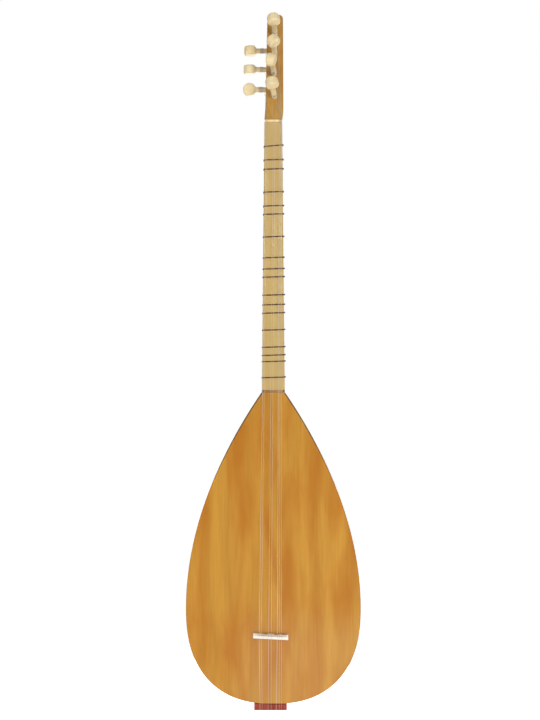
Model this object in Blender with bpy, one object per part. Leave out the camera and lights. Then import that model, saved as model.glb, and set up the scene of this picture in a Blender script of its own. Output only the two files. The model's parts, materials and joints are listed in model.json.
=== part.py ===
# Short-necked baglama: staved bowl, lacquered soundboard, tied frets and seven strings.
# Metres, +Z up along the neck, the soundboard looks towards -Y.
# The origin is on the middle of the fingerboard's face, at the nut.

import math

import bmesh
import bpy
from mathutils import Matrix, Vector

# Driving dimensions: fits
seat = 0.0003
tail_seat = 0.0005

# Driving dimensions: neck
scale_length = 0.700
fingerboard_length = 0.3656
fingerboard_thick = 0.004
neck_width_nut = 0.0242
neck_width_heel = 0.0312
neck_depth_nut = 0.0220
neck_depth_heel = 0.0260
neck_side = 0.0030
corner_cut = 0.0006
back_facets = 14
tenon_width = 0.014
tenon_depth = 0.010
tenon_length = 0.028
end_strip_length = 0.0029

# Driving dimensions: nut
nut_thick = 0.0030
nut_height = 0.0016
nut_notch_width = 0.0010
nut_notch_depth = 0.0007

# Driving dimensions: peghead
head_tilt = math.radians(18.0)
head_length = 0.1715
head_blend = 0.018
head_right = 0.0138
head_left_low = -0.0109
head_left_top = -0.0080
head_side_share = 0.60
head_round = 0.012

# Driving dimensions: pegs
front_peg_heights = (0.0355, 0.0715, 0.1003, 0.1348)
front_peg_offsets = (0.0018, 0.0015, 0.0025, 0.0028)
front_peg_leans = (6.0, 7.0, 4.0, 4.0)
front_peg_turns = (12.0, 58.0, 38.0, 8.0)
side_peg_heights = (0.0527, 0.0847, 0.1146)
side_peg_turns = (90.0, 4.0, 8.0)
front_shaft_length = 0.026
side_shaft_length = 0.014
shaft_radius = 0.0034
shaft_taper = 0.020
tip_recess = 0.0006
handle_length = 0.0175
handle_half_width = 0.00885
handle_half_thick = 0.0060
peg_sides = 12

# Driving dimensions: body
body_length = 0.4232
body_width = 0.2378
nose_width = 0.0322
widest_at = 0.2918
deepest_at = 0.2860
bowl_depth = 0.1320
nose_depth = 0.0225
shoulder_power = 1.93
back_power = 1.75
tail_power = 2.4
tail_back_power = 2.3
tail_share = 0.9966
stave_count = 9
stave_thick = 0.0030
stave_facets = 2
upper_stations = 8
lower_stations = 8
board_thick = 0.0030
board_dome = 0.0012
board_facets = 8
sound_hole_radius = 0.0060
sound_hole_rise = 0.060

# Driving dimensions: blocks and brace
neck_block_length = 0.046
tail_block_length = 0.024
tail_block_half = 0.022
tail_nose_radius = 0.0150
brace_at = 0.230
brace_width = 0.008
brace_height = 0.014
brace_end_height = 0.007
brace_end_gap = 0.0030
block_fit = 0.0010

# Driving dimensions: bridge
bridge_length = 0.0475
bridge_middle = -0.0036
bridge_height = 0.0098
bridge_base = 0.0070
bridge_top = 0.0031
bridge_skew = math.radians(3.0)
bridge_notch_width = 0.0013
bridge_notch_depth = 0.0012
bridge_foot = 0.0085
bridge_arch = 0.0036
arch_facets = 8

# Driving dimensions: tailpiece and its pins
tailpiece_left = -0.0261
tailpiece_right = 0.0185
tailpiece_bottom = 0.0083
tailpiece_front = 0.0010
tailpiece_depth = 0.032
tailpiece_lip = 0.0042
pin_radius = 0.0008
pin_buried = 0.0035
pin_out = 0.0028
pin_rows = (0.0125, 0.0185)
pin_sides = 8

# Driving dimensions: strings, from the leftmost course to the rightmost
nut_string_x = (-0.0096, -0.0080, -0.0001, 0.0022, 0.0084, 0.0099, 0.0111)
bridge_string_x = (-0.0192, -0.0164, -0.0064, -0.0029, 0.0053, 0.0080, 0.0109)
tail_string_x = (-0.0181, -0.0151, -0.0068, -0.0029, 0.0041, 0.0080, 0.0109)
string_radii = (0.00025, 0.00020, 0.00022, 0.00020, 0.00030, 0.00020, 0.00020)
string_pegs = (("side", 0), ("side", 1), ("side", 2), ("front", 0), ("front", 1), ("front", 2), ("front", 3))
winding_turns = 3
winding_points = 8
winding_gap = 0.00050
winding_start = 0.0040
string_clearance = 0.00045

# Driving dimensions: tied frets, each by its pitch above the open string, in cents
fret_cents = (85, 135, 169, 256, 311, 345, 440, 533, 585, 624, 713, 763, 807, 900, 1000, 1049, 1088, 1192)
fret_radius = 0.00025
fret_pitch = 0.00100
fret_turns = 2
fret_tilt = 0.0010
first_fret_tilt = 0.0022
fret_back_facets = 7
knot_radius = 0.0009

# Planes that follow from the sizes above
rim_y = board_thick + seat
strip_top_z = -fingerboard_length - seat
strip_end_z = strip_top_z - end_strip_length
body_top_z = strip_end_z - seat
widest_z = body_top_z - widest_at
deepest_z = body_top_z - deepest_at
body_end_z = body_top_z - body_length
head_start_z = nut_thick / 2 + seat
head_thick = neck_depth_nut * math.cos(head_tilt)
bridge_z = -scale_length
tail_edge_z = body_end_z - tailpiece_bottom

smallest_gap = {}


def clear_scene():
    for item in list(bpy.data.objects):
        bpy.data.objects.remove(item, do_unlink=True)


def make_material(name, colour, roughness, metallic=0.0):
    material = bpy.data.materials.new(name)
    material.use_nodes = True
    shader = material.node_tree.nodes["Principled BSDF"]
    shader.inputs["Base Color"].default_value = (*colour, 1.0)
    shader.inputs["Roughness"].default_value = roughness
    shader.inputs["Metallic"].default_value = metallic
    return material


def place_mesh(name, bm, material, smooth_angle=35.0):
    bmesh.ops.recalc_face_normals(bm, faces=bm.faces)
    mesh = bpy.data.meshes.new(name)
    bm.to_mesh(mesh)
    bm.free()
    mesh.materials.append(material)
    mesh.shade_smooth()
    mesh.set_sharp_from_angle(angle=math.radians(smooth_angle))
    part = bpy.data.objects.new(name, mesh)
    bpy.context.scene.collection.objects.link(part)
    return part


def loft(rings):
    bm = bmesh.new()
    loops = [[bm.verts.new(point) for point in ring] for ring in rings]
    count = len(loops[0])
    for low, high in zip(loops, loops[1:]):
        for i in range(count):
            j = (i + 1) % count
            bm.faces.new((low[i], low[j], high[j], high[i]))
    bm.faces.new(loops[0])
    bm.faces.new(list(reversed(loops[-1])))
    return bm


def make_cutter(name, bm):
    bmesh.ops.recalc_face_normals(bm, faces=bm.faces)
    mesh = bpy.data.meshes.new(name)
    bm.to_mesh(mesh)
    bm.free()
    cutter = bpy.data.objects.new(name, mesh)
    bpy.context.scene.collection.objects.link(cutter)
    cutter.hide_render = True
    cutter.display_type = "WIRE"
    return cutter


def combine(part, cutter, operation):
    modifier = part.modifiers.new(cutter.name, "BOOLEAN")
    modifier.operation = operation
    modifier.object = cutter
    modifier.solver = "EXACT"


def tube(name, points, radius, material):
    curve = bpy.data.curves.new(name, "CURVE")
    curve.dimensions = "3D"
    curve.bevel_depth = radius
    curve.bevel_resolution = 1
    curve.resolution_u = 1
    curve.render_resolution_u = 0
    curve.use_fill_caps = True
    spline = curve.splines.new("POLY")
    spline.points.add(len(points) - 1)
    for target, point in zip(spline.points, points):
        target.co = (*point, 1.0)
    curve.materials.append(material)
    part = bpy.data.objects.new(name, curve)
    bpy.context.scene.collection.objects.link(part)
    return part


def add_rod(bm, start, end, start_radius, end_radius, sides):
    axis = end - start
    turn = axis.to_track_quat("Z", "Y").to_matrix().to_4x4()
    middle = Matrix.Translation((start + end) / 2)
    bmesh.ops.create_cone(bm, cap_ends=True, segments=sides, radius1=start_radius,
                          radius2=end_radius, depth=axis.length, matrix=middle @ turn)


def gap_along(points, radius, skip):
    closest = 1.0
    for i, first in enumerate(points):
        for second in points[i + skip:]:
            closest = min(closest, (first - second).length)
    return closest - 2 * radius


# Neck

def neck_share(z):
    return min(max(-z / -strip_end_z, 0.0), 1.0)


def neck_width(z):
    return neck_width_nut + (neck_width_heel - neck_width_nut) * neck_share(z)


def neck_depth(z):
    return neck_depth_nut + (neck_depth_heel - neck_depth_nut) * neck_share(z)


def neck_back(width, depth, top, side, facets, power=2.0):
    points = []
    for k in range(facets + 1):
        angle = math.pi * k / facets
        wide = math.copysign(abs(math.cos(angle)) ** (2 / power), math.cos(angle))
        deep = max(math.sin(angle), 0.0) ** (2 / power)
        points.append((-width / 2 * wide, top + side + (depth - top - side) * deep))
    return points


def neck_ring(z):
    width = neck_width(z)
    top = fingerboard_thick + seat
    outline = [(-width / 2, top)]
    outline += neck_back(width, neck_depth(z), top, neck_side, back_facets)
    outline.append((width / 2, top))
    return [Vector((x, y, z)) for x, y in outline]


def overlay_ring(z):
    half = neck_width(z) / 2
    outline = ((-half, fingerboard_thick), (-half, corner_cut), (-half + corner_cut, 0.0),
               (half - corner_cut, 0.0), (half, corner_cut), (half, fingerboard_thick))
    return [Vector((x, y, z)) for x, y in outline]


def make_neck(material):
    neck = place_mesh("neck", loft([neck_ring(nut_thick / 2), neck_ring(0.0), neck_ring(strip_end_z)]), material)
    bm = bmesh.new()
    top = fingerboard_thick + 2 * neck_side
    size = (tenon_width, tenon_depth, 2 * tenon_length)
    middle = Matrix.Translation((0.0, top + tenon_depth / 2, strip_end_z))
    bmesh.ops.create_cube(bm, size=1.0, matrix=middle @ Matrix.Diagonal((*size, 1.0)))
    combine(neck, make_cutter("tenon_form", bm), "UNION")


def make_fingerboard(material):
    place_mesh("fingerboard", loft([overlay_ring(-nut_thick / 2 - seat), overlay_ring(-fingerboard_length)]), material)


def make_end_strip(material):
    place_mesh("end_strip", loft([overlay_ring(strip_top_z), overlay_ring(strip_end_z)]), material)


def notched_top(half, height, places, notch_width, notch_depth):
    points = [(-half, height)]
    for place in sorted(places):
        points.append((place - notch_width / 2, height))
        points.append((place - notch_width / 2, height - notch_depth))
        points.append((place + notch_width / 2, height - notch_depth))
        points.append((place + notch_width / 2, height))
    points.append((half, height))
    return points


def make_nut(material):
    half = neck_width_nut / 2
    outline = notched_top(half, nut_height, nut_string_x, nut_notch_width, nut_notch_depth)
    outline += [(half, -fingerboard_thick), (-half, -fingerboard_thick)]
    rings = [[Vector((x, -rise, z)) for x, rise in outline] for z in (-nut_thick / 2, nut_thick / 2)]
    place_mesh("nut", loft(rings), material)


# Peghead and pegs

def on_head(x, depth, height):
    y = height * math.sin(head_tilt) + depth * math.cos(head_tilt)
    z = head_start_z + height * math.cos(head_tilt) - depth * math.sin(head_tilt)
    return Vector((x, y, z))


def head_edges(height):
    share = min(max((height - head_blend) / (head_length - head_blend), 0.0), 1.0)
    left = head_left_low + (head_left_top - head_left_low) * share
    return left, head_right


def head_ring(height, shrink=1.0):
    left, right = head_edges(height)
    middle = (left + right) / 2
    width = (right - left) * shrink
    side = head_thick * head_side_share
    inset = head_thick * (1 - shrink) / 2
    outline = [(-width / 2, inset)]
    outline += neck_back(width, head_thick - inset, inset, side * shrink, back_facets, 2.6)
    outline.append((width / 2, inset))
    return [on_head(middle + x, depth, height) for x, depth in outline]


def head_joint_ring():
    width = neck_width_nut
    outline = [(-width / 2, 0.0)]
    outline += neck_back(width, neck_depth_nut, fingerboard_thick + seat, neck_side, back_facets)
    outline.append((width / 2, 0.0))
    return [Vector((x, y, head_start_z)) for x, y in outline]


def peg_places():
    places = []
    for k, height in enumerate(front_peg_heights):
        lean = math.radians(front_peg_leans[k])
        foot = on_head(front_peg_offsets[k], 0.0, height)
        face = on_head(0.0, 0.0, 0.0) - on_head(0.0, 1.0, 0.0)
        out = face * math.cos(lean) + Vector((-math.sin(lean), 0.0, 0.0))
        turn = math.radians(front_peg_turns[k])
        places.append(("front_peg", foot, out.normalized(), front_shaft_length, head_thick, turn))
    for k, height in enumerate(side_peg_heights):
        left, right = head_edges(height)
        foot = on_head(left, head_thick / 2, height)
        turn = math.radians(side_peg_turns[k])
        places.append(("side_peg", foot, Vector((-1.0, 0.0, 0.0)), side_shaft_length, right - left, turn))
    return places


def shaft_radius_at(distance):
    return shaft_radius + shaft_taper * distance


def make_peghead(material):
    rings = [head_joint_ring(), head_ring(head_blend), head_ring(head_length - head_round)]
    for k in range(1, 5):
        angle = math.radians(90.0) * k / 4.4
        rings.append(head_ring(head_length - head_round * (1 - math.sin(angle)), math.cos(angle) ** 0.6))
    peghead = place_mesh("peghead", loft(rings), material)
    for k, (kind, foot, out, length, thick, turn) in enumerate(peg_places()):
        bm = bmesh.new()
        past = thick * 1.3
        add_rod(bm, foot - out * past, foot + out * past, shaft_radius_at(-past) + seat,
                shaft_radius_at(past) + seat, peg_sides)
        combine(peghead, make_cutter("peg_hole_%d" % (k + 1), bm), "DIFFERENCE")


def peg_ring(foot, out, wide, across, distance, half_width, half_thick):
    ring = []
    for k in range(peg_sides):
        angle = 2 * math.pi * (k + 0.5) / peg_sides
        ring.append(foot + out * distance + wide * half_width * math.cos(angle)
                    + across * half_thick * math.sin(angle))
    return ring


def make_peg(name, foot, out, shaft, thick, turn, material):
    tip = thick - tip_recess
    side = Vector((1.0, 0.0, 0.0)) if abs(out.x) < 0.5 else Vector((0.0, 0.0, 1.0))
    wide = (side - out * side.dot(out)).normalized()
    across = out.cross(wide)
    wide, across = (wide * math.cos(turn) + across * math.sin(turn),
                    across * math.cos(turn) - wide * math.sin(turn))
    rings = []
    for distance in (-tip, 0.0, shaft):
        radius = shaft_radius_at(distance)
        rings.append(peg_ring(foot, out, wide, across, distance, radius, radius))
    neck = shaft_radius_at(shaft)
    shape = ((0.10, 0.25), (0.24, 0.74), (0.42, 0.96), (0.60, 1.0), (0.78, 0.90), (0.91, 0.66), (0.98, 0.36))
    for share, swell in shape:
        half_width = neck + (handle_half_width - neck) * swell if share < 0.5 else handle_half_width * swell
        half_thick = neck + (handle_half_thick - neck) * swell if share < 0.5 else handle_half_thick * swell ** 0.6
        rings.append(peg_ring(foot, out, wide, across, shaft + handle_length * share, half_width, half_thick))
    place_mesh(name, loft(rings), material, 50.0)


# Body

def half_width(z):
    if z >= widest_z:
        share = (z - widest_z) / widest_at
        return body_width / 2 - (body_width - nose_width) / 2 * share ** shoulder_power
    share = (widest_z - z) / (body_length - widest_at)
    return body_width / 2 * max(1 - share ** tail_power, 0.0) ** (1 / tail_power)


def depth_at(z):
    if z >= deepest_z:
        share = (z - deepest_z) / deepest_at
        return bowl_depth - (bowl_depth - nose_depth) * share ** back_power
    share = (deepest_z - z) / (body_length - deepest_at)
    return bowl_depth * max(1 - share ** tail_back_power, 0.0) ** (1 / tail_back_power)


def inner_place(z):
    if z >= widest_z:
        return z, 1.0
    low = body_length - widest_at
    return widest_z + (z - widest_z) * (low - stave_thick) / low, 1.0


def body_stations():
    stations = [body_top_z - widest_at * k / upper_stations for k in range(upper_stations)]
    low = (body_length - widest_at) * tail_share
    stations += [widest_z - low * math.sin(math.pi / 2 * k / lower_stations) for k in range(lower_stations + 1)]
    return stations


def bowl_point(angle, z, inward):
    wide = half_width(z)
    deep = depth_at(z)
    if z < widest_z:
        wide *= 1 - inward / (body_width / 2)
        deep *= 1 - inward / bowl_depth
        low = body_length - widest_at
        z = widest_z + (z - widest_z) * (low - inward) / low
    else:
        wide -= inward
        deep -= inward
    return Vector((-wide * math.cos(angle), rim_y + deep * math.sin(angle), z))


def stave_ring(z, low_angle, high_angle):
    speed_low = math.hypot(half_width(z) * math.sin(low_angle), depth_at(z) * math.cos(low_angle))
    speed_high = math.hypot(half_width(z) * math.sin(high_angle), depth_at(z) * math.cos(high_angle))
    start = low_angle if low_angle == 0.0 else low_angle + seat / 2 / speed_low
    end = high_angle if high_angle >= math.pi - 1e-9 else high_angle - seat / 2 / speed_high
    angles = [start + (end - start) * k / stave_facets for k in range(stave_facets + 1)]
    ring = [bowl_point(angle, z, 0.0) for angle in angles]
    ring += [bowl_point(angle, z, stave_thick) for angle in reversed(angles)]
    return ring


def make_bowl(materials):
    for k in range(stave_count):
        low_angle = math.pi * k / stave_count
        high_angle = math.pi * (k + 1) / stave_count
        rings = [stave_ring(z, low_angle, high_angle) for z in body_stations()]
        stave = place_mesh("bowl_stave_%d" % (k + 1), loft(rings), materials[k % len(materials)])
        if k == stave_count // 2:
            bm = bmesh.new()
            place = Vector((0.0, rim_y + depth_at(body_end_z + sound_hole_rise), body_end_z + sound_hole_rise))
            way = Vector((0.0, 0.6, -0.8)) * stave_thick * 6
            add_rod(bm, place - way, place + way, sound_hole_radius, sound_hole_radius, 16)
            combine(stave, make_cutter("sound_hole_form", bm), "DIFFERENCE")


def dome(x, z):
    wide = max(half_width(z), 1e-6)
    along = math.sin(math.pi * min(max((body_top_z - z) / body_length, 0.0), 1.0))
    return board_dome * along * max(1 - (x / wide) ** 2, 0.0)


def make_soundboard(material):
    rings = []
    for z in body_stations():
        wide = half_width(z)
        places = [wide * (2 * k / board_facets - 1) for k in range(board_facets + 1)]
        ring = [Vector((x, -dome(x, z), z)) for x in places]
        ring += [Vector((x, board_thick - dome(x, z), z)) for x in reversed(places)]
        rings.append(ring)
    place_mesh("soundboard", loft(rings), material)


def block_ring(z, wide, deep, facets=10):
    ring = []
    for k in range(facets + 1):
        angle = math.pi * k / facets
        ring.append(Vector((-wide * math.cos(angle), rim_y + seat + (deep - seat) * math.sin(angle), z)))
    return ring


def make_neck_block(material):
    rings = []
    for k in range(4):
        z = body_top_z - neck_block_length * k / 3
        loose = stave_thick + block_fit
        rings.append(block_ring(z, half_width(z) - loose, depth_at(z) - loose))
    block = place_mesh("neck_block", loft(rings), material)
    bm = bmesh.new()
    top = fingerboard_thick + 2 * neck_side
    size = (tenon_width + 2 * seat, tenon_depth + 2 * seat, 2 * (tenon_length + seat))
    middle = Matrix.Translation((0.0, top + tenon_depth / 2, strip_end_z))
    bmesh.ops.create_cube(bm, size=1.0, matrix=middle @ Matrix.Diagonal((*size, 1.0)))
    combine(block, make_cutter("mortise_form", bm), "DIFFERENCE")


def make_tail_block(material):
    last = body_stations()[-1]
    inner = bowl_point(0.0, last, stave_thick).z
    nose = tail_nose_radius
    wide = tail_block_half
    rings = [block_ring(last, nose, nose), block_ring(inner + 2 * seat, nose, nose),
             block_ring(inner + 2 * stave_thick, wide, wide), block_ring(inner + tail_block_length, wide, wide)]
    place_mesh("tail_block", loft(rings), material)


def make_brace(material):
    z = body_top_z - brace_at
    reach = half_width(z) - stave_thick - brace_end_gap
    rings = []
    count = 8
    for k in range(count + 1):
        x = reach * (2 * k / count - 1)
        top = board_thick + seat - dome(x, z)
        tall = brace_end_height + (brace_height - brace_end_height) * (1 - (x / reach) ** 2)
        corners = ((top, -1), (top, 1), (top + tall, 1), (top + tall, -1))
        rings.append([Vector((x, y, z + side * brace_width / 2)) for y, side in corners])
    place_mesh("soundboard_brace", loft(rings), material)


# Bridge and tailpiece

def bridge_line_z(x):
    return bridge_z - math.tan(bridge_skew) * (x - bridge_middle)


def bridge_foot_y():
    return -board_dome - seat


def make_bridge(material):
    half = bridge_length / 2
    notches = [(x - bridge_middle) / math.cos(bridge_skew) for x in bridge_string_x]
    outline = notched_top(half, bridge_height, notches, bridge_notch_width, bridge_notch_depth)
    span = (bridge_length - 3 * bridge_foot) / 2
    outline.append((half, 0.0))
    for middle in (bridge_foot / 2 + span / 2, -bridge_foot / 2 - span / 2):
        for k in range(arch_facets + 1):
            angle = math.pi * k / arch_facets
            outline.append((middle + span / 2 * math.cos(angle), bridge_arch * math.sin(angle)))
    outline.append((-half, 0.0))
    turn = Matrix.Rotation(bridge_skew, 4, "Y")
    shift = Matrix.Translation((bridge_middle, bridge_foot_y(), bridge_z))
    rings = []
    for side in (-1, 1):
        ring = []
        for x, rise in outline:
            thick = bridge_base + (bridge_top - bridge_base) * rise / bridge_height
            ring.append(shift @ turn @ Vector((x, -rise, side * thick / 2)))
        rings.append(ring)
    place_mesh("bridge", loft(rings), material)


def bowl_end_z(x, y):
    high = widest_z
    low = body_end_z
    if y < rim_y:
        while high - low > 1e-6:
            middle = (high + low) / 2
            if half_width(middle) > abs(x):
                high = middle
            else:
                low = middle
        return low
    high = deepest_z
    while high - low > 1e-6:
        middle = (high + low) / 2
        wide = max(half_width(middle), 1e-6)
        deep = max(depth_at(middle), 1e-6)
        if (x / wide) ** 2 + ((y - rim_y) / deep) ** 2 < 1:
            high = middle
        else:
            low = middle
    return low


def make_tailpiece(material):
    rings = []
    across = 6
    down = 5
    for k in range(across + 1):
        x = tailpiece_left + (tailpiece_right - tailpiece_left) * k / across
        ring = [Vector((x, -tailpiece_front, tail_edge_z)),
                Vector((x, tailpiece_depth * 0.72, tail_edge_z)),
                Vector((x, tailpiece_depth, bowl_end_z(x, tailpiece_depth) - tailpiece_lip))]
        for j in range(down + 1):
            y = tailpiece_depth - (tailpiece_depth - rim_y) * j / down
            ring.append(Vector((x, y, bowl_end_z(x, y) - tail_seat)))
        ring.append(Vector((x, -tailpiece_front, bowl_end_z(x, 0.0) - tail_seat)))
        rings.append(ring)
    tailpiece = place_mesh("tailpiece", loft(rings), material)
    bm = bmesh.new()
    for place in pin_places():
        add_rod(bm, place + Vector((0.0, 0.0, pin_buried + seat)), place - Vector((0.0, 0.0, pin_out)),
                pin_radius + seat, pin_radius + seat, pin_sides)
    combine(tailpiece, make_cutter("pin_hole_form", bm), "DIFFERENCE")


def pin_places():
    return [Vector((x, pin_rows[k % 2], tail_edge_z)) for k, x in enumerate(tail_string_x)]


def make_tail_pins(material):
    for k, place in enumerate(pin_places()):
        bm = bmesh.new()
        add_rod(bm, place + Vector((0.0, 0.0, pin_buried)), place - Vector((0.0, 0.0, pin_out)),
                pin_radius, pin_radius, pin_sides)
        place_mesh("tail_pin_%d" % (k + 1), bm, material, 50.0)


# Strings

def tail_run(k, radius):
    x = tail_string_x[k]
    front = -tailpiece_front - seat - radius
    under = tail_edge_z - seat - radius
    pin = pin_places()[k]
    reach = pin_radius + seat + radius
    points = []
    for j in range(6):
        angle = math.radians(-60.0 + 54.0 * j)
        points.append(Vector((x - reach * math.cos(angle), pin.y + reach * math.sin(angle), under)))
    points.reverse()
    points.append(Vector((x - reach * 0.5, pin.y - 4 * reach, under)))
    points.append(Vector((x, front + 0.0006, under)))
    points.append(Vector((x, front, under + 0.0006)))
    points.append(Vector((x, front, body_end_z - seat)))
    return points


def winding(foot, out, arrive, radius):
    forward = (arrive - out * arrive.dot(out)).normalized()
    aside = forward.cross(out)
    if abs(out.x) > 0.5 and aside.y > 0 or abs(out.x) <= 0.5 and aside.x < 0:
        aside = -aside
    pitch = 2 * radius + winding_gap
    points = []
    for j in range(winding_turns * winding_points + 1):
        angle = 2 * math.pi * j / winding_points
        along = winding_start + pitch * j / winding_points
        corner = (shaft_radius_at(along + pitch) + seat + radius) / math.cos(math.pi / winding_points)
        spoke = aside * math.cos(angle) + forward * math.sin(angle)
        points.append(foot + out * along + spoke * corner)
    return points


def make_string(k, material):
    radius = string_radii[k]
    points = tail_run(k, radius)
    x = bridge_string_x[k]
    lift = bridge_foot_y() - bridge_height + bridge_notch_depth - string_clearance - radius
    points.append(Vector((x, lift, bridge_line_z(x))))
    x = nut_string_x[k]
    over_nut = -nut_height + nut_notch_depth - seat / 2 - radius
    points.append(Vector((x, over_nut, -nut_thick / 2)))
    points.append(Vector((x, over_nut, nut_thick / 2)))
    kind, index = string_pegs[k]
    place = peg_places()[index if kind == "front" else index + len(front_peg_heights)]
    foot = place[1]
    out = place[2]
    if kind == "side":
        height = side_peg_heights[index] - 0.016
        left = head_edges(height)[0]
        points.append(on_head(left + 0.0010, -2 * seat - radius, height))
        points.append(on_head(left - 3 * seat - radius, 0.0006, height + 0.0012))
    points += winding(foot, out, foot - points[-1], radius)
    smallest_gap["string_%d" % (k + 1)] = gap_along(points[-winding_turns * winding_points:], radius, winding_points)
    tube("string_%d" % (k + 1), points, radius, material)


# Tied frets

def fret_z(cents):
    return -scale_length * (1 - 2 ** (-cents / 1200))


def fret_outline(z):
    half = neck_width(z) / 2
    front = [(half, corner_cut), (half - corner_cut, 0.0), (-half + corner_cut, 0.0), (-half, corner_cut)]
    back = neck_back(2 * half, neck_depth(z), fingerboard_thick + seat, neck_side, fret_back_facets)
    return front + back


def offset_outline(outline, distance):
    moved = []
    count = len(outline)
    for k, point in enumerate(outline):
        before = Vector(point) - Vector(outline[k - 1])
        after = Vector(outline[(k + 1) % count]) - Vector(point)
        first = Vector((-before.y, before.x)).normalized()
        second = Vector((-after.y, after.x)).normalized()
        middle = (first + second).normalized()
        moved.append(Vector(point) + middle * distance / max(middle.dot(first), 0.3))
    return moved


def fret_sag(z):
    half_step = math.pi / fret_back_facets / 2
    return (neck_depth(z) - fingerboard_thick - neck_side) * (1 - math.cos(half_step))


def make_fret(k, material):
    z = fret_z(fret_cents[k])
    tilt = first_fret_tilt if k == 0 else fret_tilt
    outline = fret_outline(z)
    snug = offset_outline(outline, fret_radius + seat)
    loose = offset_outline(outline, fret_radius + seat + fret_sag(z))
    turn = snug[:4] + loose[4:]
    points = []
    for j in range(fret_turns * len(turn) + 1):
        place = turn[j % len(turn)]
        rise = fret_pitch * (j / len(turn) - fret_turns / 2) + tilt * place.x / neck_width(z)
        points.append(Vector((place.x, place.y, z + rise)))
    smallest_gap["fret_%d" % (k + 1)] = gap_along(points, fret_radius, len(turn))
    fret = tube("fret_%02d" % (k + 1), points, fret_radius, material)
    return fret


def print_gaps():
    for name, gap in smallest_gap.items():
        print("least gap of %s to itself: %.2f mm" % (name, gap * 1000))


def main():
    clear_scene()
    board_wood = make_material("lacquered_spruce", (0.52, 0.22, 0.03), 0.35)
    pale_wood = make_material("pale_beech", (0.60, 0.41, 0.16), 0.5)
    head_wood = make_material("golden_beech", (0.48, 0.25, 0.07), 0.4)
    strip_wood = make_material("brown_strip", (0.42, 0.23, 0.09), 0.5)
    dark_stave = make_material("walnut_stave", (0.16, 0.07, 0.03), 0.35)
    light_stave = make_material("mahogany_stave", (0.24, 0.10, 0.04), 0.35)
    block_wood = make_material("block_spruce", (0.55, 0.38, 0.20), 0.7)
    cream = make_material("cream_peg", (0.81, 0.69, 0.38), 0.4)
    bridge_wood = make_material("white_bridge", (0.85, 0.78, 0.64), 0.5)
    red_wood = make_material("red_padauk", (0.34, 0.06, 0.03), 0.4)
    steel = make_material("string_steel", (0.72, 0.70, 0.66), 0.3, 1.0)
    nylon = make_material("fret_nylon", (0.05, 0.02, 0.03), 0.45)
    make_neck(pale_wood)
    make_fingerboard(pale_wood)
    make_end_strip(strip_wood)
    make_nut(cream)
    make_peghead(head_wood)
    counts = {}
    for kind, foot, out, shaft, thick, turn in peg_places():
        counts[kind] = counts.get(kind, 0) + 1
        make_peg("%s_%d" % (kind, counts[kind]), foot, out, shaft, thick, turn, cream)
    make_bowl((dark_stave, light_stave))
    make_soundboard(board_wood)
    make_neck_block(block_wood)
    make_tail_block(block_wood)
    make_brace(block_wood)
    make_bridge(bridge_wood)
    make_tailpiece(red_wood)
    make_tail_pins(steel)
    for k in range(len(string_radii)):
        make_string(k, steel)
    for k in range(len(fret_cents)):
        make_fret(k, nylon)
    print_gaps()


main()
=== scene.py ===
import json
import math

import bmesh
import bpy
from mathutils import Matrix, Vector


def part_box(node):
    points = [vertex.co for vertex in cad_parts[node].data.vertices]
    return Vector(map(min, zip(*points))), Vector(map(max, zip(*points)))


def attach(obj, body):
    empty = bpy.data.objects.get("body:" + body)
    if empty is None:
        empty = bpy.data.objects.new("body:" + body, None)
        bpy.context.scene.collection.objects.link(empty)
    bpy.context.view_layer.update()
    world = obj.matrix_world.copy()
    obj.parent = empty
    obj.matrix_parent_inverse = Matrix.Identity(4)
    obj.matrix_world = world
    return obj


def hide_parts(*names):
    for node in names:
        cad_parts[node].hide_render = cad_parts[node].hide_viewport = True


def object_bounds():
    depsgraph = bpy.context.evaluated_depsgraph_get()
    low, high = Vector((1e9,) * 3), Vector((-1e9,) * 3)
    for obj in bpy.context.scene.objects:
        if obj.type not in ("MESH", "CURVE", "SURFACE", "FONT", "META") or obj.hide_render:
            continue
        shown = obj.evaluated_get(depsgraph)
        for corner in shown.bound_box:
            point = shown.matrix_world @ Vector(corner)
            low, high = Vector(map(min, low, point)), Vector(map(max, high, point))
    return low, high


bl_info = {
    "name": "Baglama looks",
    "version": (1, 0, 0),
    "blender": (4, 5, 0),
    "location": "3D View > Sidebar > Baglama",
    "description": "Dresses the packed baglama with its woods, strings, frets and pegs",
    "category": "Object",
}

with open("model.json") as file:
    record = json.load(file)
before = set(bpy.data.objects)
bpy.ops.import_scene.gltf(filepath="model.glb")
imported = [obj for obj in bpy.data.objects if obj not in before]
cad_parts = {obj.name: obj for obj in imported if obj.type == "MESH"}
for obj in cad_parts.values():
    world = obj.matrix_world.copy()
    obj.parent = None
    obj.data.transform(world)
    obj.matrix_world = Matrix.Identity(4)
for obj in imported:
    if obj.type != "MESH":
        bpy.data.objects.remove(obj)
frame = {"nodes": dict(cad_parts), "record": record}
cad_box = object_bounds()

seat = 0.0003
body_name = "body"
joints = {joint["name"]: joint for joint in frame["record"]["behaviour"]["joints"]}

strip_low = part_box("end_strip")[0]
board_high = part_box("soundboard")[1]

neck_width_nut = 0.0242
neck_width_heel = 0.0312
neck_depth_nut = 0.0220
neck_depth_heel = 0.0260
neck_side = 0.0030
fingerboard_thick = 0.004
nut_thick = 0.0030
strip_end_z = strip_low[2]

body_top_z = board_high[2]
body_length = 0.4232
body_width = 0.2378
nose_width = 0.0322
widest_at = 0.2918
deepest_at = 0.2860
bowl_depth = 0.1320
nose_depth = 0.0225
shoulder_power = 1.93
back_power = 1.75
tail_power = 2.4
tail_back_power = 2.3
tail_share = 0.9966
stave_count = 9
stave_thick = 0.0030
board_thick = 0.0030
board_dome = 0.0012
board_edge_cut = 0.0005
rim_show = 0.0017
rim_shows_from = -0.500
rim_y = board_thick + seat
widest_z = body_top_z - widest_at
deepest_z = body_top_z - deepest_at
body_end_z = body_top_z - body_length

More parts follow.
